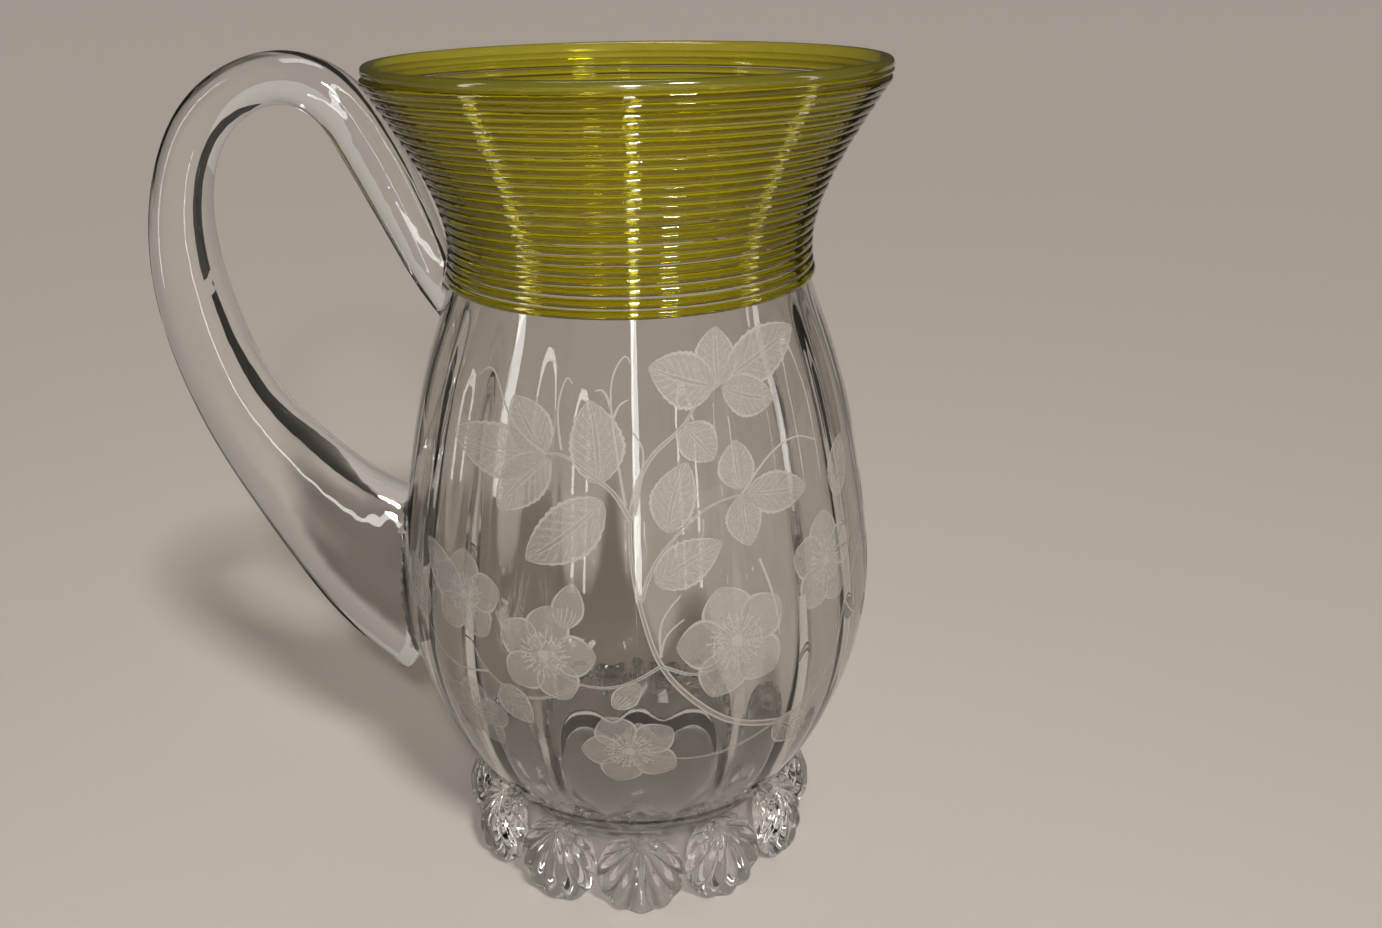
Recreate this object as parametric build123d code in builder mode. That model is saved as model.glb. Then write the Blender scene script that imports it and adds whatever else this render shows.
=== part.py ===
"""Glass pitcher: ribbed shell feet, an applied handle and a collar wound with one coloured thread.

Millimetres. +Z is up and z = 0 is the table. The vessel turns about the Z axis, the spout side
is +X and the handle stands on -X.
"""

from build123d import *
from math import atan2, cos, hypot, pi, radians, sin, sqrt, tan
import os

# Vessel outside: radius and height of each level, from the base to the lip
base_radius, base_height = 29.0, 8.5
heel_radius, heel_height = 46.6, 30.0
lower_radius, lower_height = 54.8, 47.0
belly_radius, belly_height = 61.0, 77.0
upper_radius, upper_height = 57.6, 107.0
shoulder_radius, shoulder_height = 48.2, 144.0
neck_radius, neck_height = 41.9, 166.0
flare_radius, flare_height = 47.8, 186.0
lip_radius, lip_height = 59.0, 205.0

# Gap left where one piece lies against another
seat_gap = 0.05

# Vessel glass
body_wall = 3.2
collar_wall = 2.6
base_thickness = 7.0
inside_floor_radius = 24.0

# Coloured thread on the collar
thread_diameter = 1.5
thread_turns = 23
thread_sides = 5
thread_low_height = 157.5
thread_high_height = 203.0
thread_lower_spread = 0.08

# Shell feet
foot_count = 12
foot_spacing = 0.2
shell_radius = 11.2
shell_toe_radius = 46.6
shell_top_radius = 40.4
shell_hinge_inset = 1.7
shell_hinge_reach = 1.2
shell_dome = 4.0
shell_back = 3.0
shell_ground_off = 0.35
shell_rim = 1.4
shell_rib_height = 0.75
shell_rib_angle = 18.0
shell_ribs = 9
shell_root_width = 11.0
shell_root_depth = 12.0
shell_root_height = 13.0
shell_root_end_radius = 43.5

# Handle: its clearance over the thread, and along its middle line from the body round to the
# shoulder the distance out from the axis, the height, and half its thickness in line and across
handle_clearance = 0.15
handle_course = [
    (50.0, 69.5, 26.5, 16.5),
    (64.5, 80.5, 22.8, 15.0),
    (77.0, 93.0, 17.8, 12.4),
    (87.0, 106.0, 14.3, 10.8),
    (95.3, 119.0, 11.9, 9.7),
    (101.6, 133.5, 10.3, 8.9),
    (105.4, 150.0, 9.5, 8.3),
    (106.4, 167.0, 8.1, 7.6),
    (103.6, 182.5, 6.8, 6.9),
    (97.2, 194.5, 6.1, 6.4),
    (87.4, 201.8, 5.8, 6.2),
    (76.2, 203.6, 5.9, 6.3),
    (67.2, 199.3, 6.3, 6.6),
    (60.6, 189.8, 6.7, 6.9),
    (54.9, 178.0, 6.7, 6.9),
    (50.0, 165.5, 5.9, 6.2),
    (46.6, 154.5, 4.0, 4.6),
    (44.8, 147.0, 1.4, 2.0),
]

# Room around the model for the shapes that only cut
beyond = 40.0


def outline_points():
    """Outside of the vessel, from the edge of its base to the lip, as (radius, height)."""
    return [
        (base_radius, base_height),
        (heel_radius, heel_height),
        (lower_radius, lower_height),
        (belly_radius, belly_height),
        (upper_radius, upper_height),
        (shoulder_radius, shoulder_height),
        (neck_radius, neck_height),
        (flare_radius, flare_height),
        (lip_radius, lip_height),
    ]


outline = Spline(*outline_points())


def at_height(height):
    """Share of the outline's length at which it reaches a height."""
    low, high = 0.0, 1.0
    for _ in range(40):
        middle = (low + high) / 2
        if (outline @ middle).Y < height:
            low = middle
        else:
            high = middle
    return (low + high) / 2


def off_outline(share, distance):
    """Point at a distance outside the outline, as (radius, height); inside if negative."""
    point, way = outline @ share, outline % share
    return point.X + way.Y * distance, point.Y - way.X * distance


def make_vessel():
    """Blown body and flared collar in one: the outline revolved and hollowed, with a round lip."""
    inside = [
        off_outline(at_height(height), -body_wall)
        for height in (heel_height, lower_height, belly_height, upper_height, shoulder_height)
    ]
    inside += [
        off_outline(at_height(neck_height), -(body_wall + collar_wall) / 2),
        off_outline(at_height(flare_height), -collar_wall),
    ]
    lip_inside = off_outline(1.0, -collar_wall)
    lip_middle = off_outline(1.0, -collar_wall / 2)
    lip_way = outline % 1
    lip_top = (
        lip_middle[0] + lip_way.X * collar_wall / 2,
        lip_middle[1] + lip_way.Y * collar_wall / 2,
    )
    floor_height = base_height + base_thickness
    with BuildPart() as vessel:
        with BuildSketch(Plane.XZ):
            with BuildLine():
                Spline(*outline_points())
                ThreePointArc(outline @ 1, lip_top, lip_inside)
                Spline(lip_inside, *reversed(inside), (inside_floor_radius, floor_height))
                Polyline(
                    (inside_floor_radius, floor_height),
                    (0, floor_height),
                    (0, base_height),
                    (base_radius, base_height),
                )
            make_face()
        revolve(axis=Axis.Z)
    vessel.part.label = "vessel"
    return vessel


def make_core():
    """The vessel without its hollow and with the seat gap round it, to cut the feet and the handle."""
    skin = [off_outline(at_height(height), seat_gap) for _, height in outline_points()]
    with BuildPart() as core:
        with BuildSketch(Plane.XZ):
            with BuildLine():
                Spline(*skin)
                Polyline(skin[-1], (0, skin[-1][1]), (0, skin[0][1]), skin[0])
            make_face()
        revolve(axis=Axis.Z)
    return core


def make_thread_room():
    """Room that the thread takes up round the collar and over the lip, kept clear of the handle."""
    stand = seat_gap + thread_diameter + handle_clearance
    low, high = at_height(thread_low_height - thread_diameter), 1.0
    skin = [off_outline(low + (high - low) * n / 6, stand) for n in range(7)]
    with BuildPart() as room:
        with BuildSketch(Plane.XZ):
            with BuildLine():
                Spline(*skin)
                Polyline(
                    skin[-1],
                    (skin[-1][0], lip_height + beyond),
                    (0, lip_height + beyond),
                    (0, skin[0][1]),
                    skin[0],
                )
            make_face()
        revolve(axis=Axis.Z)
    return room


def thread_point(turn):
    """Middle of the thread after so many turns, which lie closer together towards the lip."""
    low, high = at_height(thread_low_height), at_height(thread_high_height)
    done = turn / thread_turns
    along = done + thread_lower_spread * done * (1 - done)
    stand = seat_gap + thread_diameter / 2
    radius, height = off_outline(low + (high - low) * along, stand)
    return Vector(radius * cos(2 * pi * turn), radius * sin(2 * pi * turn), height)


def thread_way(turn):
    """Direction in which the thread runs there."""
    step = 0.001
    return (thread_point(turn + step) - thread_point(turn - step)).normalized()


def biarc(start, start_way, end, end_way):
    """Two arcs that leave the start and reach the end along the given directions."""
    span, ways = end - start, start_way + end_way
    bend = 2 * (1 - start_way.dot(end_way))
    reach = (sqrt(span.dot(ways) ** 2 + bend * span.dot(span)) - span.dot(ways)) / bend
    middle = (start + end + (start_way - end_way) * reach) * 0.5
    first = Edge.make_tangent_arc(start, start_way, middle)
    second = Edge.make_tangent_arc(middle, first % 1, end)
    return [first, second]


def thread_arcs():
    """The thread's middle line: half turns as pairs of arcs, with a short straight run at each end."""
    turns = [n / 2 for n in range(2 * thread_turns + 1)]
    arcs = []
    for here, there in zip(turns, turns[1:]):
        arcs += biarc(thread_point(here), thread_way(here), thread_point(there), thread_way(there))
    first, last = arcs[0], arcs[-1]
    lead_in = Edge.make_line(first @ 0 - (first % 0) * thread_diameter, first @ 0)
    lead_out = Edge.make_line(last @ 1, last @ 1 + (last % 1) * thread_diameter)
    return [lead_in, *arcs, lead_out]


def make_thread(arcs):
    """One thread of coloured glass wound on the collar from the shoulder to the lip."""
    with BuildPart() as thread:
        with BuildLine() as course:
            add(arcs)
        path = course.wires()[0]
        with BuildSketch(Plane(path @ 0, z_dir=path % 0)):
            RegularPolygon(thread_diameter / 2, thread_sides)
        sweep(path=path)
    thread.part.label = "collar_thread"
    return thread


def least_thread_gap(arcs):
    """Least gap between one turn and the next, measured on points of the middle line."""
    points = [arc @ (n / 8) for arc in arcs for n in range(8)]
    turn_points = 4 * 8
    least = beyond
    for n, point in enumerate(points):
        for other in points[n + turn_points // 2 : n + turn_points * 3 // 2]:
            least = min(least, (other - point).length)
    return least - thread_diameter


def shell_slice(angle, crest):
    """Slice of the shell's fan at an angle from its middle line, as points (reach, height) from its hinge."""
    hinge_to_middle = shell_radius - shell_hinge_inset
    across = hinge_to_middle * sin(angle)
    reach = hinge_to_middle * cos(angle) + sqrt(shell_radius**2 - across**2)
    rib = shell_rib_height if crest else -shell_rib_height

    def height(at):
        off_middle = hypot(at * sin(angle), at * cos(angle) - hinge_to_middle)
        dome = shell_dome * (1 - (off_middle / shell_radius) ** 2)
        return dome + rib * at / (2 * shell_radius)

    begin, edge = shell_hinge_reach, reach - shell_rim
    bulge = (begin + edge) / 2
    tip = (reach, (height(edge) - shell_back) / 2)
    return (begin, height(begin)), (bulge, height(bulge)), (edge, height(edge)), tip


def make_shell(core):
    """Pressed shell foot on the +X side: a fan of ribs over a domed disc, on a root that meets the vessel."""
    lean = atan2(shell_toe_radius - shell_top_radius, 2 * shell_radius)
    down = Vector(sin(lean), 0, -cos(lean))
    out = Vector(cos(lean), 0, sin(lean))
    side = Vector(0, 1, 0)
    toe = Vector(shell_toe_radius, 0, -shell_ground_off)
    hinge = toe - down * (2 * shell_radius - shell_hinge_inset)
    half_pitch = pi / foot_count
    apex = foot_spacing / 2 / sin(half_pitch)
    far = belly_radius + beyond
    far_half = (far - apex) * tan(half_pitch)
    with BuildPart() as shell:
        for n in range(-shell_ribs, shell_ribs + 1):
            angle = radians(n * shell_rib_angle / 2)
            reach_way = down * cos(angle) + side * sin(angle)
            begin, bulge, edge, tip = shell_slice(angle, (n - shell_ribs) % 2 == 1)
            with BuildSketch(Plane(hinge, x_dir=reach_way, z_dir=reach_way.cross(out))):
                with BuildLine():
                    ThreePointArc(begin, bulge, edge)
                    Polyline(edge, tip, (edge[0], -shell_back), (begin[0], -shell_back), begin)
                make_face()
        loft(ruled=True)
        with BuildSketch(Plane.YZ.offset(base_radius + seat_gap)):
            with Locations((0, shell_root_height)):
                Rectangle(shell_root_width, shell_root_depth)
        extrude(amount=shell_root_end_radius - base_radius - seat_gap)
        add(core.part, mode=Mode.SUBTRACT)
        with BuildSketch(Plane.XY):
            with BuildLine():
                Polyline((apex, 0), (far, far_half), (far, -far_half), close=True)
            make_face()
        extrude(amount=beyond, mode=Mode.INTERSECT)
    return shell


def make_foot(shell, number):
    """One of the ring of feet, counted from the front anticlockwise."""
    with BuildPart() as foot:
        with Locations(Rotation(0, 0, 360 * number / foot_count - 90)):
            add(shell.part)
    foot.part.label = f"shell_foot_{number + 1:02d}"
    return foot


def make_handle(core, room):
    """Applied handle: a drawn rod, thick where it meets the body, looped over and laid along the collar."""
    middle_line = Spline(*[(-out, height) for out, height, _, _ in handle_course])
    with BuildPart() as handle:
        for out, height, half_in_line, half_across in handle_course:
            share = middle_line.param_at_point((-out, height))
            way = middle_line % share
            here = Plane((-out, 0, height), x_dir=(0, 1, 0), z_dir=(way.X, 0, way.Y))
            with BuildSketch(here):
                Ellipse(half_across, half_in_line)
        loft()
        add(core.part, mode=Mode.SUBTRACT)
        add(room.part, mode=Mode.SUBTRACT)
    handle.part.label = "handle"
    return handle


def main():
    core = make_core()
    arcs = thread_arcs()
    shell = make_shell(core)
    pieces = [make_vessel(), make_thread(arcs), make_handle(core, make_thread_room())]
    pieces += [make_foot(shell, number) for number in range(foot_count)]
    os.makedirs("parts", exist_ok=True)
    for piece in pieces:
        export_step(piece.part, f"parts/{piece.part.label}.step")
    print(f"least gap between turns of the thread: {least_thread_gap(arcs):.2f} mm")


main()
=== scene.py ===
"""Looks of the glass pitcher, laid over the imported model. Metres, in the model's own frame."""

from math import atan2, cos, hypot, pi, radians, sin, sqrt, tan

import bmesh
import bpy
import numpy as np
from mathutils import Matrix, Vector


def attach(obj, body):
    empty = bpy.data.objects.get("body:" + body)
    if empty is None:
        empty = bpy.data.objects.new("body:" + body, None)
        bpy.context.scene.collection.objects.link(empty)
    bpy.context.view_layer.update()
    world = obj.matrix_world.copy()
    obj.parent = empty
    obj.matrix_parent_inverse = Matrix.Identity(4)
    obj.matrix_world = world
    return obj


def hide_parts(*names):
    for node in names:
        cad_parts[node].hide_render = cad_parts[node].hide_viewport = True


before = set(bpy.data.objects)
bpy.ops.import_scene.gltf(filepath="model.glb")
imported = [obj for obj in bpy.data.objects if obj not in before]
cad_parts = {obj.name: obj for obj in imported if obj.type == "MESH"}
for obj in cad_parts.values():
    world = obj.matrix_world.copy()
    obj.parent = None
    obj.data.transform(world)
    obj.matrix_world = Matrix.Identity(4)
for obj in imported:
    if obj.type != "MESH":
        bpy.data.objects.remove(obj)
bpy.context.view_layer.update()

MM = 0.001

# Vessel outside: radius and height of each level, in millimetres, from the base to the lip
LEVELS = [
    (29.0, 8.5), (46.6, 30.0), (54.8, 47.0), (61.0, 77.0), (57.6, 107.0),
    (48.2, 144.0), (41.9, 166.0), (47.8, 186.0), (59.0, 205.0),
]
BODY_WALL = 3.2
COLLAR_WALL = 2.6
# Heights between which the wall thins from the body's to the collar's
WALL_THINS = (144.0, 184.0)
INSIDE_TOP, INSIDE_FOOT = 204.6, 27.0
FLOOR_HEIGHT = 15.5
FLOOR_DISH = 0.8
INSIDE_FLOOR_RADIUS = 24.0
# Optic ribs inside the body, and the heights over which they rise and fade
OPTIC_RIBS = 20
OPTIC_DEPTH = 0.62
RIBS_RISE, RIBS_FADE = (32.0, 56.0), (160.0, 138.0)
LIP_TINT_HEIGHT = 203.4
VESSEL_SIDES = 240
# Rings of the hollow under the base: radius, and height over the base
UNDERSIDE = [(26.5, 0.0), (25.0, 1.2), (10.0, 1.5), (0.5, 1.5)]

THREAD_WIDTH = 2.02
THREAD_FLATNESS = 0.72
THREAD_TURNS = 23
THREAD_LOW, THREAD_HIGH = 157.5, 204.6
THREAD_SPREAD = 0.08
# Unevenness of a hand-wound thread: in height, in millimetres, and in thickness, as a share
THREAD_WANDER = 0.05
THREAD_SWELL = 0.012
THREAD_STAND = 0.03

# Middle line of the handle: out from the axis, height, half its thickness in line and across
HANDLE = [
    (50.0, 69.5, 26.5, 16.5), (64.5, 80.5, 22.8, 15.0), (77.0, 93.0, 17.8, 12.4),
    (87.0, 106.0, 14.3, 10.8), (95.3, 119.0, 11.9, 9.7), (101.6, 133.5, 10.3, 8.9),
    (105.4, 150.0, 9.5, 8.3), (106.4, 167.0, 8.1, 7.6), (103.6, 182.5, 6.8, 6.9),
    (97.2, 194.5, 6.1, 6.4), (87.4, 201.8, 5.8, 6.2), (76.2, 203.6, 5.9, 6.3),
    (67.2, 199.3, 6.3, 6.6), (60.6, 189.8, 6.7, 6.9), (54.9, 178.0, 6.7, 6.9),
    (50.0, 165.5, 5.9, 6.2), (46.6, 154.5, 4.0, 4.6), (44.8, 147.0, 1.4, 2.0),
]
# Drawn cords of the handle's surface, four and seven round it, as shares of its half thickness
WIDE_CORD, FINE_CORD = 0.022, 0.014
# Least room between the handle and what it passes
HANDLE_OFF_BODY, HANDLE_OFF_THREAD, HANDLE_OFF_LIP = 0.04, 0.2, 2.2

# Shell feet: each fans out from a hinge at its top, on the leaning face of a round disc
FEET = 12
SHELL_RADIUS = 11.2
SHELL_TOE, SHELL_TOP = 46.6, 40.4
SHELL_HINGE_INSET = 1.7
SHELL_DOME = 4.0
SHELL_RIB = 2.3
SHELL_BACK_RIB = 0.5
SHELL_RIB_ANGLE = 18.0
SHELL_FAN = 88.0
SHELL_BACK = 3.0
SHELL_EDGE = 1.0
SHELL_ROOT = 0.6
SHELL_COLUMNS, SHELL_ROWS = 121, 26
# Least room between a shell and the middle of its gap, and between a shell and the vessel
SHELL_OFF_GAP, SHELL_OFF_BODY = 0.12, 0.05

# How far the frosted cuts of the engraving and the dots of its stamens stand off the glass
CUT_STAND = 0.045
DOT_STAND = 0.07
# Height gained by a millimetre up the curved body
CUT_RISE = 0.97
LEAF_ROWS, PETAL_ROWS, BLADE_COLUMNS = 54, 42, 27
LEAF_VEINS = 9
LEAF_TEETH = 11
TOOTH_DEPTH = 0.09
TENDRIL_WIDTH = 0.62
STAMEN_DOTS = 110


def share_of(value, start, end):
    """How far a value is on its way from start to end, from 0 to 1."""
    return min(max((value - start) / (end - start), 0), 1)


def cubic(points, samples):
    """Smooth line through the points, natural at its ends, sampled evenly by chord length."""
    p = np.array(points, float)
    t = np.concatenate([[0], np.cumsum(np.linalg.norm(np.diff(p[:, :2], axis=0), axis=1))])
    n, h = len(p), np.diff(t)
    a = np.zeros((n, n))
    b = np.zeros((n, p.shape[1]))
    a[0, 0] = a[-1, -1] = 1
    for i in range(1, n - 1):
        a[i, i - 1], a[i, i], a[i, i + 1] = h[i - 1], 2 * (h[i - 1] + h[i]), h[i]
        b[i] = 6 * ((p[i + 1] - p[i]) / h[i] - (p[i] - p[i - 1]) / h[i - 1])
    m = np.linalg.solve(a, b)
    at = np.linspace(0, t[-1], samples)
    k = np.clip(np.searchsorted(t, at) - 1, 0, n - 2)
    x, y = (t[k + 1] - at)[:, None], (at - t[k])[:, None]
    hk = h[k][:, None]
    return (
        (m[k] * x**3 + m[k + 1] * y**3) / (6 * hk)
        + (p[k] / hk - m[k] * hk / 6) * x
        + (p[k + 1] / hk - m[k + 1] * hk / 6) * y
    )


OUTLINE = cubic(LEVELS, 2000)
STEPS = np.arange(len(OUTLINE))
SLOPE = np.gradient(OUTLINE, axis=0)
SLOPE /= np.linalg.norm(SLOPE, axis=1)[:, None]


def step_at(height):
    """Place along the outline of a height, in steps of OUTLINE."""
    return np.interp(height, OUTLINE[:, 1], STEPS)


def slope_at(height):
    """Direction of the outline at a height, as its parts outward and up."""
    k = step_at(height)
    return np.interp(k, STEPS, SLOPE[:, 0]), np.interp(k, STEPS, SLOPE[:, 1])


def outside(height, off=0.0):
    """Radius and height of the point a distance off the vessel's outside, at a height."""
    k = step_at(height)
    r, z = np.interp(k, STEPS, OUTLINE[:, 0]), np.interp(k, STEPS, OUTLINE[:, 1])
    out, up = slope_at(height)
    return r + up * off, z - out * off


def mesh_object(name, vertices, faces):
    """Smooth-shaded object from points in millimetres, with its faces turned outward."""
    mesh = bpy.data.meshes.new(name)
    mesh.from_pydata([tuple(v) for v in np.asarray(vertices, float) * MM], [], faces)
    mesh.validate()
    shape = bmesh.new()
    shape.from_mesh(mesh)
    bmesh.ops.recalc_face_normals(shape, faces=shape.faces)
    shape.to_mesh(mesh)
    shape.free()
    mesh.update()
    mesh.polygons.foreach_set("use_smooth", [True] * len(mesh.polygons))
    obj = bpy.data.objects.new(name, mesh)
    bpy.context.scene.collection.objects.link(obj)
    return obj


def grid_faces(rows, columns, closed):
    """Faces of a grid of rows and columns, its rows closed into rings if asked."""
    faces = []
    for i in range(rows - 1):
        low, high = i * columns, (i + 1) * columns
        for j in range(columns if closed else columns - 1):
            k = (j + 1) % columns
            faces.append((low + j, low + k, high + k, high + j))
    return faces


def tube_faces(rings, sides):
    """Faces of a tube of rings, closed at both ends."""
    faces = grid_faces(rings, sides, True)
    faces.append(tuple(reversed(range(sides))))
    faces.append(tuple((rings - 1) * sides + n for n in range(sides)))
    return faces


# Engraving: a place on the body is (degrees round from the front, height in millimetres)
# Each stem: its places and its width
STEMS = [
    ([(33, 62), (21, 67), (12, 75), (5, 85), (2, 94), (0, 103), (-1, 111), (-1, 118)], 1.9),
    ([(-1, 118), (-5, 124), (-11, 128), (-17, 131), (-21, 131)], 1.2),
    ([(-1, 118), (1, 126), (5, 132), (12, 137), (17, 142), (22, 144)], 1.3),
    ([(1, 100), (4, 108), (10, 115), (18, 120), (25, 121)], 1.0),
    ([(5, 85), (13, 82), (22, 86)], 0.9),
    ([(33, 62), (43, 64), (51, 74), (55, 86), (64, 95), (78, 104), (88, 118)], 1.4),
    ([(5, 85), (-4, 80), (-12, 80), (-20, 85)], 0.9),
    ([(-12, 80), (-24, 74), (-34, 78), (-41, 92)], 0.8),
    ([(33, 62), (22, 58), (8, 58), (-2, 62)], 0.8),
    ([(64, 95), (76, 92), (86, 84)], 0.8),
]
# Each tendril: its places
TENDRILS = [
    [(-17, 132), (-18.5, 140), (-18, 144), (-16.5, 146.5), (-15.2, 145.4)],
    [(-2, 121), (-4.4, 135), (-5.4, 144), (-4, 149), (-1.4, 151), (-0.4, 149.4)],
    [(-5, 138), (-2.6, 142), (-1.0, 142.6)],
    [(-5.4, 141), (-8, 144.5), (-9.4, 144.2)],
    [(0, 119), (2, 129), (2, 133), (0, 136)],
    [(5, 88), (6.2, 92), (10, 95.5)],
    [(5, 87), (5.6, 96), (9.4, 101)],
    [(25, 121), (34, 128), (44, 129.5), (50, 127)],
    [(28, 106), (31, 96), (32, 87)],
    [(-21, 131), (-33, 139), (-41, 146), (-44, 144)],
    [(55, 86), (60, 80), (68, 78), (72, 81)],
    [(-34, 78), (-46, 76), (-54, 82), (-58, 90)],
]
# Each leaf or bud: its foot, its tip and its width
LEAVES = [
    ((21, 144), (4.5, 149), 12), ((22, 144), (23.5, 156), 10), ((24, 145), (51, 152), 11),
    ((23, 143.5), (38, 139), 9), ((12, 137), (19, 129), 9), ((25, 122), (24.5, 133), 9),
    ((26, 121), (44, 118), 9.5), ((25, 121), (26, 109), 9), ((7, 115), (12, 130), 10),
    ((4, 104), (19, 112), 10.5), ((-8, 125.5), (-10.5, 143), 12), ((-21, 131), (-31, 142), 11),
    ((-21, 131), (-50, 131), 12), ((-20, 130), (-33, 117), 11), ((-7, 122), (-25, 107), 12.5),
    ((55, 112), (63, 125), 10), ((78, 104), (94, 101), 11), ((88, 118), (84, 132), 11),
    ((88, 118), (104, 121), 11), ((88, 118), (96, 131), 10), ((-54, 84), (-66, 96), 11),
    ((-41, 92), (-56, 104), 10), ((33, 62), (45, 52), 10), ((-30, 76), (-24, 66), 9),
]
# Each blossom: its middle, its radius and the direction of its first petal in degrees
BLOSSOMS = [
    ((-20, 86), 12.0, 8), ((21.5, 88.5), 14.0, 30), ((48, 99), 12.0, 12), ((-2, 61), 11.5, 40),
    ((-41, 95), 11.0, 22), ((86, 83), 12.0, 5), ((-40, 64), 10.0, 15),
]
BUDS = [((-15.5, 93), (-13.5, 104), 7.5), ((-5, 74), (0.5, 81), 6.0), ((68, 78), (76, 72), 6.0)]


def on_body(theta, height, off):
    """Point a distance off the body, at an angle round from the front and a height."""
    r, z = outside(height, off)
    a = np.radians(theta)
    return np.stack([r * np.sin(a), -r * np.cos(a), z], axis=-1)


class Cuts:
    """Collects the cut areas of the engraving as grids of points with how deeply each is frosted."""

    def __init__(self):
        self.vertices, self.faces, self.frost = [], [], []

    def grid(self, theta, height, frost, off=CUT_STAND):
        """Adds a grid of places on the body, with the frost of each."""
        rows, columns = theta.shape
        start = sum(len(v) for v in self.vertices)
        self.vertices.append(on_body(theta.ravel(), height.ravel(), off))
        self.frost.append(np.clip(frost, 0, 1).ravel())
        self.faces += [tuple(start + n for n in face) for face in grid_faces(rows, columns, False)]

    def local(self, origin, x, y, frost, off=CUT_STAND):
        """The same for a grid given in millimetres right and up from a place on the body."""
        height = origin[1] + y * CUT_RISE
        radius, _ = outside(height)
        self.grid(origin[0] + np.degrees(x / radius), height, frost, off)

    def blade(self, origin, direction, length, width, frost, teeth=0, blunt=0.85, bend=0.0):
        """Leaf or petal outline: frost(t, s) gives its depth along and across."""
        rows = LEAF_ROWS if teeth else PETAL_ROWS
        t, s = np.meshgrid(np.linspace(0, 1, rows), np.linspace(-1, 1, BLADE_COLUMNS), indexing="ij")
        half = width / 2 * np.sin(pi * t**blunt) ** 0.75 + 0.02
        if teeth:
            half = half * (1 + TOOTH_DEPTH * ((t * teeth) % 1.0 - 0.5) * np.abs(s) ** 3)
        along = t * length
        across = s * half + bend * length * np.sin(pi * t)
        c, d = cos(direction), sin(direction)
        self.local(origin, along * c - across * d, along * d + across * c, frost(t, s))

    def ribbon(self, points, width, frost, taper=0.35):
        """Line that narrows to a share of its width: frost(side) gives its depth across."""
        line = cubic(points, 30 * len(points))
        radius, _ = outside(line[:, 1])
        flat = np.stack([np.radians(line[:, 0]) * radius, line[:, 1]], axis=1)
        way = np.gradient(flat, axis=0)
        way /= np.linalg.norm(way, axis=1)[:, None] + 1e-9
        share = np.linspace(0, 1, len(line))
        half = width / 2 * (1 - (1 - taper) * share)
        sides = np.array([-1, -0.6, -0.45, 0, 0.45, 0.6, 1.0])
        x = line[:, 0][:, None] + np.degrees(-way[:, 1] * half / radius)[:, None] * sides
        z = line[:, 1][:, None] + (way[:, 0] * half)[:, None] * sides
        depth = np.array([frost(abs(side)) for side in sides])[None, :] * np.ones_like(x)
        self.grid(x, z, depth)

    def dot(self, origin, x, y, size):
        """Fully frosted disc of radius size, in millimetres right and up from a place."""
        a = np.linspace(0, 2 * pi, 9)
        r = np.array([0.01, 1.0])[:, None] * size
        self.local(origin, x + r * np.cos(a), y + r * np.sin(a), np.ones((2, 9)), DOT_STAND)


def leaf_depth(t, s):
    """Frost of a leaf: side veins, a bare midrib between two cut lines, and a cut edge."""
    across = np.abs(s)
    line = np.abs(((t - 0.28 * across) * LEAF_VEINS) % 1.0 - 0.5)
    vein = np.where(line > 0.38, 0.72, 0.50)
    vein = np.where(across < 0.15, 0.8, vein)
    vein = np.where(across < 0.07, 0.25, vein)
    return np.where(across > 0.90, 1.0, vein)


def petal_depth(t, s):
    """Frost of a petal: rays near its foot and a cut edge."""
    across = np.abs(s)
    on_ray = (np.abs((s * 3.5) % 1.0 - 0.5) > 0.36) & (t < 0.5 - 0.2 * across)
    return np.where(across > 0.92, 0.95, np.where(on_ray, 0.95, 0.52))


def foot_to_tip(foot, tip):
    """Direction and length on the body from one place to another."""
    radius = float(outside((foot[1] + tip[1]) / 2)[0])
    dx, dy = radians(tip[0] - foot[0]) * radius, tip[1] - foot[1]
    return atan2(dy, dx), hypot(dx, dy)


def cut_blossom(cuts, luck, centre, size, first):
    """Five petals round a dotted middle."""
    radius = float(outside(centre[1])[0])
    for n in range(5):
        turn = radians(first + 72 * n + luck.uniform(-5, 5))
        start = 0.05 * size
        place = (centre[0] + np.degrees(start * cos(turn) / radius), centre[1] + start * sin(turn))
        length = size * luck.uniform(0.92, 1.04)
        cuts.blade(place, turn, length, size * 0.88, petal_depth, blunt=1.15)
    cuts.dot(centre, 0.0, 0.0, size * 0.11)
    for n in range(STAMEN_DOTS):
        turn, reach = luck.uniform(0, 2 * pi), size * 0.46 * sqrt(luck.uniform(0.03, 1))
        cuts.dot(centre, reach * cos(turn), reach * sin(turn), luck.uniform(0.18, 0.34))


def make_engraving():
    cuts = Cuts()
    luck = np.random.default_rng(21)
    for foot, tip, width in LEAVES:
        direction, length = foot_to_tip(foot, tip)
        bend = luck.uniform(-0.05, 0.05)
        cuts.blade(foot, direction, length, width, leaf_depth, teeth=LEAF_TEETH, bend=bend)
    for foot, tip, width in BUDS:
        direction, length = foot_to_tip(foot, tip)
        cuts.blade(foot, direction, length, width, petal_depth)
    for centre, size, first in BLOSSOMS:
        cut_blossom(cuts, luck, centre, size, first)
    for points, width in STEMS:
        cuts.ribbon(points, width, lambda side: 1.0 if side > 0.5 else 0.45)
    for points in TENDRILS:
        cuts.ribbon(points, TENDRIL_WIDTH, lambda side: 1.0, taper=0.5)
    obj = mesh_object("engraved_spray", np.concatenate(cuts.vertices), cuts.faces)
    layer = obj.data.attributes.new("frost", "FLOAT", "POINT")
    layer.data.foreach_set("value", np.concatenate(cuts.frost).astype(np.float32))
    obj.data.materials.append(FROST)
    return obj


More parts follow.
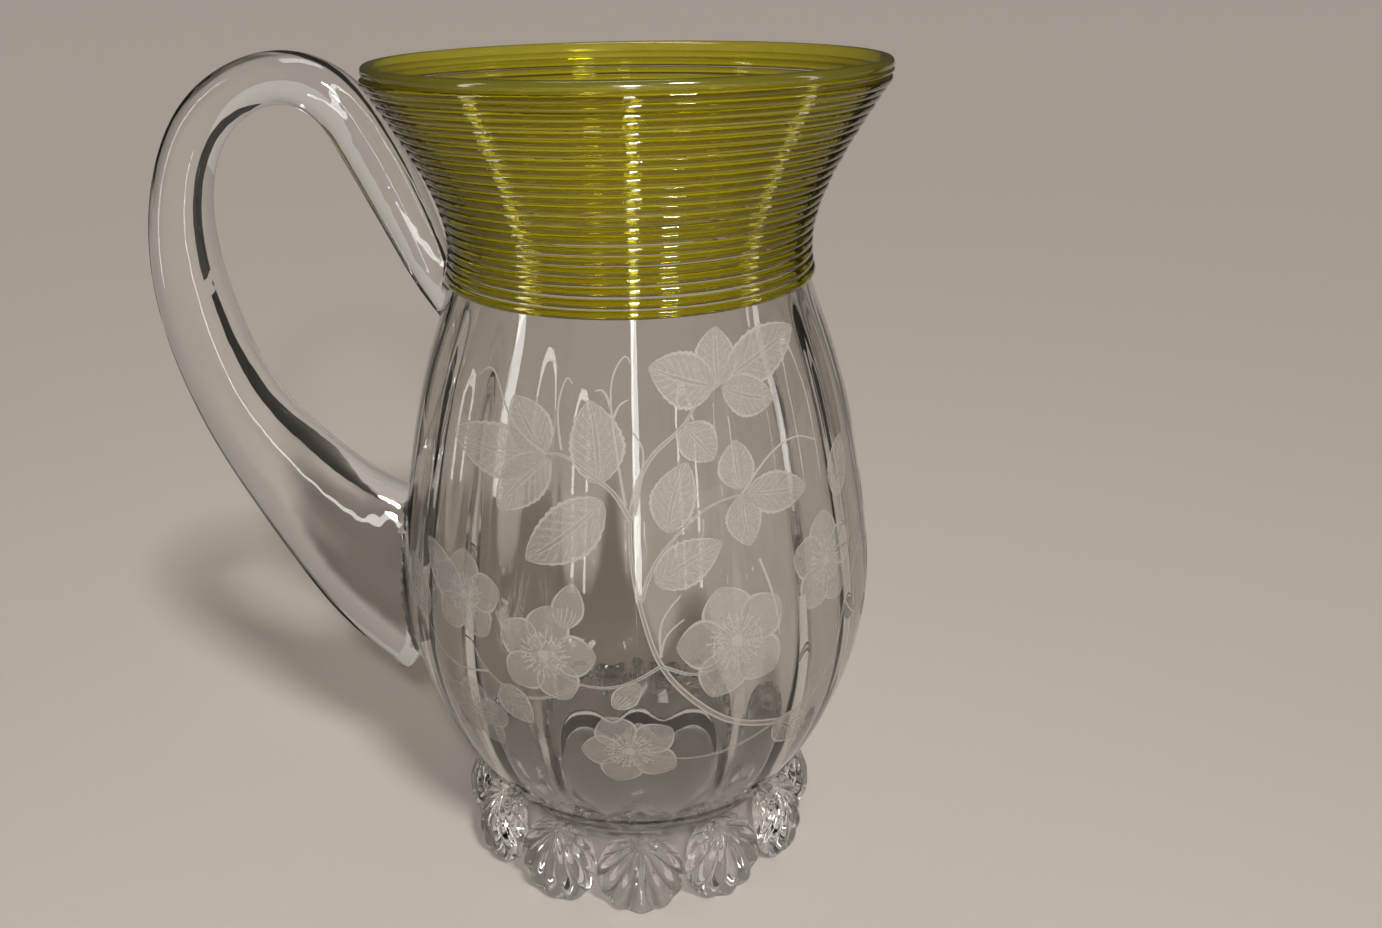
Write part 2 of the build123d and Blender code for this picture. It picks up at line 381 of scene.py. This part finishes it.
# Materials
def tree_of(name):
    """New material with its node tree and its shader."""
    material = bpy.data.materials.new(name)
    material.use_nodes = True
    tree = material.node_tree
    return material, tree, tree.nodes["Principled BSDF"]


def mapped(tree, source, from_range, to_range):
    """Output that runs over to_range while the source runs over from_range."""
    node = tree.nodes.new("ShaderNodeMapRange")
    node.inputs["From Min"].default_value, node.inputs["From Max"].default_value = from_range
    node.inputs["To Min"].default_value, node.inputs["To Max"].default_value = to_range
    tree.links.new(source, node.inputs["Value"])
    return node.outputs["Result"]


def mixed(tree, factor, a=None, b=None):
    """Colour mix, of which an end that is given gets that colour."""
    node = tree.nodes.new("ShaderNodeMix")
    node.data_type = "RGBA"
    for end, colour in (("A", a), ("B", b)):
        if colour:
            node.inputs[end].default_value = (*colour, 1)
    tree.links.new(factor, node.inputs["Factor"])
    return node


def noise_bump(tree, shader, scale, strength, distance):
    """Noise that also roughens the surface by a bump."""
    coords = tree.nodes.new("ShaderNodeTexCoord")
    noise = tree.nodes.new("ShaderNodeTexNoise")
    noise.inputs["Scale"].default_value = scale
    noise.inputs["Detail"].default_value = 2.0
    bump = tree.nodes.new("ShaderNodeBump")
    bump.inputs["Strength"].default_value = strength
    bump.inputs["Distance"].default_value = distance
    tree.links.new(coords.outputs["Object"], noise.inputs["Vector"])
    tree.links.new(noise.outputs["Fac"], bump.inputs["Height"])
    tree.links.new(bump.outputs["Normal"], shader.inputs["Normal"])
    return noise.outputs["Fac"]


def glass(name, colour, edge, blend, wave_scale, wave, rough, clear=1.0):
    """Glass that is clear face on and darkens towards its edge colour where it is seen along its skin:
    painted shade for the dark edges of glass, and for the tinted glasses partly the deeper tint of a longer
    path through them.
    """
    material, tree, shader = tree_of(name)
    shader.inputs["Base Color"].default_value = (*colour, 1)
    # The colour darkens where the glass is seen edge on: painted shade on its edges.
    facing = tree.nodes.new("ShaderNodeLayerWeight")
    facing.inputs["Blend"].default_value = blend
    edge_shaded_colour = mixed(tree, facing.outputs["Facing"], colour, edge)
    tree.links.new(edge_shaded_colour.outputs["Result"], shader.inputs["Base Color"])
    shader.inputs["Transmission Weight"].default_value = clear
    shader.inputs["IOR"].default_value = 1.5
    noise = noise_bump(tree, shader, wave_scale, wave, 0.0004)
    roughness = mapped(tree, noise, (0.3, 0.7), (rough * 0.4, rough))
    tree.links.new(roughness, shader.inputs["Roughness"])
    return material


def frosted(name):
    """Matt cut whose cover follows the depth of the cuts and a fine grain."""
    material, tree, shader = tree_of(name)
    shader.inputs["Base Color"].default_value = (0.33, 0.30, 0.262, 1)
    shader.inputs["Roughness"].default_value = 0.75
    shader.inputs["Specular IOR Level"].default_value = 0.3
    noise = noise_bump(tree, shader, 5200, 0.35, 0.00005)
    depth = tree.nodes.new("ShaderNodeAttribute")
    depth.attribute_name = "frost"
    cover = tree.nodes.new("ShaderNodeMath")
    cover.operation = "MULTIPLY"
    cover.use_clamp = True
    tree.links.new(depth.outputs["Fac"], cover.inputs[0])
    tree.links.new(mapped(tree, noise, (0.25, 0.75), (0.75, 1.2)), cover.inputs[1])
    tree.links.new(cover.outputs["Value"], shader.inputs["Alpha"])
    return material


# Each glass: name, colour face on and painted edge shade along its skin, blend, scale and strength of its
# waves, roughness
CLEAR = glass(
    "clear_glass_detail", (0.935, 0.925, 0.90), (0.34, 0.33, 0.31), 0.30, 55, 0.18, 0.02)
HANDLE_GLASS = glass(
    "handle_glass_detail", (0.96, 0.965, 0.96), (0.20, 0.21, 0.21), 0.40, 75, 0.75, 0.02)
FOOT_GLASS = glass(
    "foot_glass_detail", (0.99, 0.985, 0.975), (0.22, 0.21, 0.20), 0.36, 260, 0.22, 0.03)
THREAD_GLASS = glass(
    "thread_glass_detail", (0.74, 0.665, 0.012), (0.040, 0.034, 0.001), 0.55, 380, 0.18, 0.06)
LIP_GLASS = glass(
    "lip_glass_detail", (0.60, 0.54, 0.06), (0.34, 0.30, 0.02), 0.40, 120, 0.20, 0.15, clear=0.84)
FROST = frosted("engraving_frost")


# Vessel
def lip_ring_points():
    """Rounded edge of the lip, from outside to inside."""
    slope = SLOPE[-1]
    normal = np.array([slope[1], -slope[0]])
    middle = np.array(LEVELS[-1]) - normal * COLLAR_WALL / 2
    points = []
    for n in range(1, 9):
        turn = pi * n / 9
        point = middle + (normal * cos(turn) + slope * sin(turn)) * COLLAR_WALL / 2
        points.append((point[0], point[1], 0.0))
    return points


def inside_points():
    """Inside of the wall from the lip down, with how deep the optic ribs are at each height."""
    points = []
    for height in np.linspace(INSIDE_TOP, INSIDE_FOOT, 110):
        wall = BODY_WALL + (COLLAR_WALL - BODY_WALL) * share_of(height, *WALL_THINS)
        r, z = outside(height, -wall)
        fade = share_of(height, *RIBS_RISE) * share_of(height, *RIBS_FADE)
        points.append((float(r), float(z), OPTIC_DEPTH * fade))
    return points


def floor_points(r, z):
    """Inside corner from the foot of the wall to the floor, and the slightly dished floor."""
    knee = ((r + INSIDE_FLOOR_RADIUS) / 2 + 1.2, (z + FLOOR_HEIGHT) / 2 - 1.0)
    corner = cubic([(r, z), knee, (INSIDE_FLOOR_RADIUS, FLOOR_HEIGHT)], 10)
    points = [(r, z, 0.0) for r, z in corner[1:]]
    for r in (18.0, 12.0, 6.0, 0.5):
        points.append((r, FLOOR_HEIGHT - FLOOR_DISH * (1 - r / INSIDE_FLOOR_RADIUS), 0.0))
    return points


def make_vessel():
    rings = [(r, z, 0.0) for r, z in cubic(LEVELS, 120)]
    rings += lip_ring_points()
    rings += inside_points()
    rings += floor_points(*rings[-1][:2])
    angles = np.arange(VESSEL_SIDES) * 2 * pi / VESSEL_SIDES
    vertices = []
    for r, z, rib in rings:
        radii = r + rib * np.cos(OPTIC_RIBS * angles)
        vertices += list(zip(radii * np.cos(angles), radii * np.sin(angles), np.full(VESSEL_SIDES, z)))
    faces = grid_faces(len(rings), VESSEL_SIDES, True)
    top = (len(rings) - 1) * VESSEL_SIDES
    faces.append(tuple(top + j for j in range(VESSEL_SIDES)))
    here = 0
    for r, rise in UNDERSIDE:
        there = len(vertices)
        z = LEVELS[0][1] + rise
        vertices += list(zip(r * np.cos(angles), r * np.sin(angles), np.full(VESSEL_SIDES, z)))
        for j in range(VESSEL_SIDES):
            k = (j + 1) % VESSEL_SIDES
            faces.append((there + j, there + k, here + k, here + j))
        here = there
    faces.append(tuple(here + j for j in reversed(range(VESSEL_SIDES))))
    obj = mesh_object("vessel_glass", vertices, faces)
    obj.data.materials.append(CLEAR)
    obj.data.materials.append(LIP_GLASS)
    for face in obj.data.polygons:
        face.material_index = int(face.center.z > LIP_TINT_HEIGHT * MM)
    return obj


# Thread
def thread_heights(done):
    """Height of the thread at each share of its length, with the lower turns a little wider apart."""
    along = done + THREAD_SPREAD * done * (1 - done)
    low, high = step_at(THREAD_LOW), step_at(THREAD_HIGH)
    return np.interp(low + (high - low) * along, STEPS, OUTLINE[:, 1])


def make_thread():
    sides, steps, end_steps = 10, 150, 40
    count = THREAD_TURNS * steps + 1
    turn = np.linspace(0, THREAD_TURNS, count)
    heights = thread_heights(turn / THREAD_TURNS)
    ragged = np.random.default_rng(7)
    wander = np.zeros(count)
    fat = np.ones(count)
    for wave in range(1, 9):
        phase = ragged.uniform(0, 2 * pi, 2)
        wander += THREAD_WANDER * np.sin(turn * wave * 1.37 + phase[0])
        fat += THREAD_SWELL * np.sin(turn * wave * 2.11 + phase[1])
    from_end = np.minimum(np.arange(count), count - 1 - np.arange(count)) / end_steps
    half = THREAD_WIDTH / 2 * fat * np.sqrt(np.clip(from_end, 0.05, 1))
    r, z = outside(heights + wander)
    out, up = slope_at(heights)
    stand = half * THREAD_FLATNESS + THREAD_STAND
    angle = 2 * pi * turn
    vertices = []
    for n in range(sides):
        a = 2 * pi * n / sides
        rr = r + up * stand + half * (THREAD_FLATNESS * cos(a) * up + sin(a) * out)
        zz = z - out * stand + half * (-THREAD_FLATNESS * cos(a) * out + sin(a) * up)
        vertices.append(np.stack([rr * np.cos(angle), rr * np.sin(angle), zz], axis=1))
    vertices = np.stack(vertices, axis=1).reshape(-1, 3)
    obj = mesh_object("collar_thread_glass", vertices, tube_faces(count, sides))
    obj.data.materials.append(THREAD_GLASS)
    return obj


# Handle
def clear_of_vessel(vertices):
    """Moves the handle's points that would lie in the vessel or the thread out to their skin."""
    lip_radius, lip_height = LEVELS[-1]
    radius = np.hypot(vertices[:, 0], vertices[:, 1])
    height = np.clip(vertices[:, 2], LEVELS[0][1] + 0.5, lip_height)
    over_thread = THREAD_WIDTH * THREAD_FLATNESS + HANDLE_OFF_THREAD
    stand = np.where(height > THREAD_LOW - 2, over_thread, HANDLE_OFF_BODY)
    least = outside(height)[0] + stand / np.maximum(slope_at(height)[1], 0.4)
    least = np.where(vertices[:, 2] > lip_height + 1, lip_radius + HANDLE_OFF_LIP, least)
    push = np.where(radius < least, least / np.maximum(radius, 1e-6), 1.0)
    push = np.where(vertices[:, 0] < 0, push, 1)
    vertices[:, 0] *= push
    vertices[:, 1] *= push


def make_handle():
    sides, steps = 56, 200
    course = cubic([(-out, z, a, b) for out, z, a, b in HANDLE], steps)
    way = np.gradient(course[:, :2], axis=0)
    way /= np.linalg.norm(way, axis=1)[:, None]
    vertices = []
    for (x, z, in_line, across), (wx, wz) in zip(course, way):
        for n in range(sides):
            a = 2 * pi * n / sides
            cord = 1 + WIDE_CORD * sin(4 * a + 1.0 + x * 0.012) + FINE_CORD * sin(7 * a + z * 0.02)
            u, v = in_line * cos(a) * cord, across * sin(a) * cord
            vertices.append((x - wz * u, v, z + wx * u))
    vertices = np.array(vertices)
    clear_of_vessel(vertices)
    obj = mesh_object("handle_glass", vertices, tube_faces(steps, sides))
    obj.data.materials.append(HANDLE_GLASS)
    return obj


# Feet
def shell_section(angle, to_middle):
    """Section of a shell along one ray of its fan: (reach from the hinge, height off its disc)."""
    across = to_middle * sin(angle)
    reach = to_middle * cos(angle) + sqrt(SHELL_RADIUS**2 - across**2)
    rib = 2 * abs(cos(angle * 180 / SHELL_RIB_ANGLE)) ** 0.75 - 1
    scallop = reach * (1 + 0.012 * rib)
    front, back = [], []
    for wave in np.linspace(0, pi / 2, SHELL_ROWS):
        at = SHELL_ROOT + (scallop - SHELL_ROOT) * sin(wave)
        off = hypot(at * sin(angle), at * cos(angle) - to_middle) / SHELL_RADIUS
        dome = SHELL_DOME * (1 - min(off, 1) ** 2)
        raised = rib * at / (2 * SHELL_RADIUS)
        thin = sqrt(max(1 - (at / scallop) ** 8, 0))
        front.append((at, (dome + raised * SHELL_RIB + SHELL_EDGE) * thin - SHELL_EDGE))
        deep = SHELL_BACK - SHELL_EDGE + SHELL_BACK_RIB * raised
        back.append((at, -SHELL_EDGE - deep * sqrt(max(1 - (at / scallop) ** 6, 0))))
    return front + back[::-1]


def seat_foot(vertices):
    """Keeps a shell in its wedge of the ring, over the table and out of the vessel."""
    room = vertices[:, 0] * tan(pi / FEET) - SHELL_OFF_GAP
    vertices[:, 1] = np.clip(vertices[:, 1], -room, room)
    vertices[:, 2] = np.maximum(vertices[:, 2], 0.0)
    radius = np.hypot(vertices[:, 0], vertices[:, 1])
    base_height = LEVELS[0][1]
    least, _ = outside(np.clip(vertices[:, 2], base_height + 0.5, 200), SHELL_OFF_BODY)
    beside_vessel = (radius < least) & (vertices[:, 2] >= base_height + 0.1)
    push = np.where(beside_vessel, least / radius, 1.0)
    vertices[:, 0] *= push
    vertices[:, 1] *= push


def make_foot(number):
    lean = atan2(SHELL_TOE - SHELL_TOP, 2 * SHELL_RADIUS)
    down = np.array([sin(lean), 0, -cos(lean)])
    out = np.array([cos(lean), 0, sin(lean)])
    side = np.array([0, 1, 0])
    to_middle = SHELL_RADIUS - SHELL_HINGE_INSET
    hinge = np.array([SHELL_TOE, 0, 0]) - down * (SHELL_RADIUS + to_middle)
    vertices = []
    for angle in np.radians(np.linspace(-SHELL_FAN, SHELL_FAN, SHELL_COLUMNS)):
        for at, proud in shell_section(angle, to_middle):
            vertices.append(hinge + (down * cos(angle) + side * sin(angle)) * at + out * proud)
    vertices = np.array(vertices)
    seat_foot(vertices)
    turn = Matrix.Rotation(2 * pi * number / FEET - pi / 2, 4, "Z")
    spun = np.array([turn @ Vector(v) for v in vertices])
    obj = mesh_object(f"shell_foot_glass_{number + 1:02d}", spun, tube_faces(SHELL_COLUMNS, 2 * SHELL_ROWS))
    obj.data.materials.append(FOOT_GLASS)
    return obj


# Stage
def stage_floor():
    bpy.ops.mesh.primitive_plane_add(size=60.0, location=(0, 0, 0))
    floor = bpy.context.object
    floor.name = "table"
    material, tree, shader = tree_of("table_paper")
    shader.inputs["Base Color"].default_value = (0.47, 0.42, 0.375, 1)
    shader.inputs["Roughness"].default_value = 0.85
    noise_bump(tree, shader, 900, 0.08, 0.0002)
    floor.data.materials.append(material)


def facing(place, target):
    """Rotation that turns the -Z side of a thing at a place to a target."""
    return (Vector(target) - Vector(place)).to_track_quat("-Z", "Y")


def panel_light(name, place, target, size, power):
    data = bpy.data.lights.new(name, "AREA")
    data.shape = "SQUARE"
    data.size = size
    data.energy = power
    lamp = bpy.data.objects.new(name, data)
    bpy.context.scene.collection.objects.link(lamp)
    lamp.location = place
    lamp.rotation_euler = facing(place, target).to_euler()


def sun_light():
    sun = bpy.data.lights.new("soft_sun", "SUN")
    sun.energy = 2.3
    sun.angle = radians(9)
    lamp = bpy.data.objects.new("soft_sun", sun)
    bpy.context.scene.collection.objects.link(lamp)
    lamp.rotation_euler = facing((0, 0, 0), (-0.32, 0.62, -0.72)).to_euler()


def card(name, place, target, width, height, strength, turn=0):
    """Sheet that only the glass shows: a long soft highlight if it glows, a dark line if not."""
    w, h = width / 2, height / 2
    mesh = bpy.data.meshes.new(name)
    mesh.from_pydata([(-w, -h, 0), (w, -h, 0), (w, h, 0), (-w, h, 0)], [], [(0, 1, 2, 3)])
    obj = bpy.data.objects.new(name, mesh)
    bpy.context.scene.collection.objects.link(obj)
    obj.location = place
    spin = Matrix.Rotation(radians(turn), 4, "Z")
    obj.rotation_euler = (spin @ facing(place, target).to_matrix().to_4x4()).to_euler()
    material, _, shader = tree_of(name)
    shader.inputs["Base Color"].default_value = (0, 0, 0, 1)
    shader.inputs["Emission Color"].default_value = (1, 0.98, 0.95, 1)
    shader.inputs["Emission Strength"].default_value = strength
    mesh.materials.append(material)
    obj.visible_camera = obj.visible_diffuse = obj.visible_shadow = False


def sky():
    """Soft sky, pale behind and darker in front. Reflections off the glass see a dark room instead."""
    world = bpy.data.worlds.new("studio")
    bpy.context.scene.world = world
    world.use_nodes = True
    tree = world.node_tree
    coords = tree.nodes.new("ShaderNodeTexCoord")
    split = tree.nodes.new("ShaderNodeSeparateXYZ")
    tree.links.new(coords.outputs["Generated"], split.inputs["Vector"])
    ramp = tree.nodes.new("ShaderNodeValToRGB")
    ramp.color_ramp.elements[0].position = 0.35
    ramp.color_ramp.elements[0].color = (0.10, 0.095, 0.09, 1)
    ramp.color_ramp.elements[1].position = 0.75
    ramp.color_ramp.elements[1].color = (0.50, 0.45, 0.40, 1)
    tree.links.new(mapped(tree, split.outputs["Y"], (-1, 1), (0, 1)), ramp.inputs["Fac"])
    path = tree.nodes.new("ShaderNodeLightPath")
    mirrored = tree.nodes.new("ShaderNodeMath")
    mirrored.operation = "SUBTRACT"
    mirrored.use_clamp = True
    tree.links.new(path.outputs["Is Glossy Ray"], mirrored.inputs[0])
    tree.links.new(path.outputs["Is Transmission Ray"], mirrored.inputs[1])
    room = mixed(tree, mirrored.outputs["Value"], b=(0.055, 0.05, 0.045))
    seen = mixed(tree, path.outputs["Is Camera Ray"], b=(0.41, 0.365, 0.32))
    tree.links.new(ramp.outputs["Color"], room.inputs["A"])
    tree.links.new(room.outputs["Result"], seen.inputs["A"])
    tree.links.new(seen.outputs["Result"], tree.nodes["Background"].inputs["Color"])


def light():
    middle = (0, 0, 0.12)
    sky()
    sun_light()
    panel_light("front_panel", (0.012, -0.42, 0.37), middle, 0.035, 1.3)
    card("left_card", (-0.50, -0.22, 0.30), middle, 0.05, 0.5, 9)
    card("right_card", (0.55, -0.12, 0.28), middle, 0.04, 0.5, 6)
    card("front_strip", (0.008, -0.46, 0.20), middle, 0.026, 0.36, 11)
    card("left_flag", (-0.40, 0.40, 0.20), (-0.10, 0, 0.12), 0.11, 0.6, 0)
    # Black sheet lying on the floor behind the handle, seen only through the glass: painted shade for the
    # dark line in the handle.
    card("left_floor_painted_shade", (-0.26, 0.21, 0.002), (-0.26, 0.21, 1.0), 0.065, 0.42, 0, turn=39)
    card("right_flag", (0.46, 0.30, 0.20), middle, 0.10, 0.6, 0)
    card("top_card", (-0.05, 0.10, 0.75), middle, 0.30, 0.10, 5)


def camera():
    """Camera of the photograph, as fitted to it."""
    data = bpy.data.cameras.new("photo_view")
    data.sensor_width = 36.0
    data.lens = 36.0 * 1152 / 1382
    data.shift_x = 0.0414
    eye = bpy.data.objects.new("photo_view", data)
    bpy.context.scene.collection.objects.link(eye)
    place = Matrix.Translation((0, -0.2744, 0.2256)) @ Matrix.Rotation(radians(66.63), 4, "X")
    eye.matrix_world = place @ Matrix.Rotation(radians(-1.0), 4, "Z")
    bpy.context.scene.camera = eye


camera()
vessel = make_vessel()
thread = make_thread()
handle = make_handle()
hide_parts("vessel")
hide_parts("collar_thread")
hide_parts("handle")
for piece, slot in ((vessel, "clear_glass"), (thread, "thread_glass"), (handle, "handle_glass")):
    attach(piece, "root")
for number in range(FEET):
    foot = make_foot(number)
    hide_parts(f"shell_foot_{number + 1:02d}")
    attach(foot, "root")
engraving = make_engraving()
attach(engraving, "root")
stage_floor()
light()
bpy.context.scene.view_settings.view_transform = "Standard"
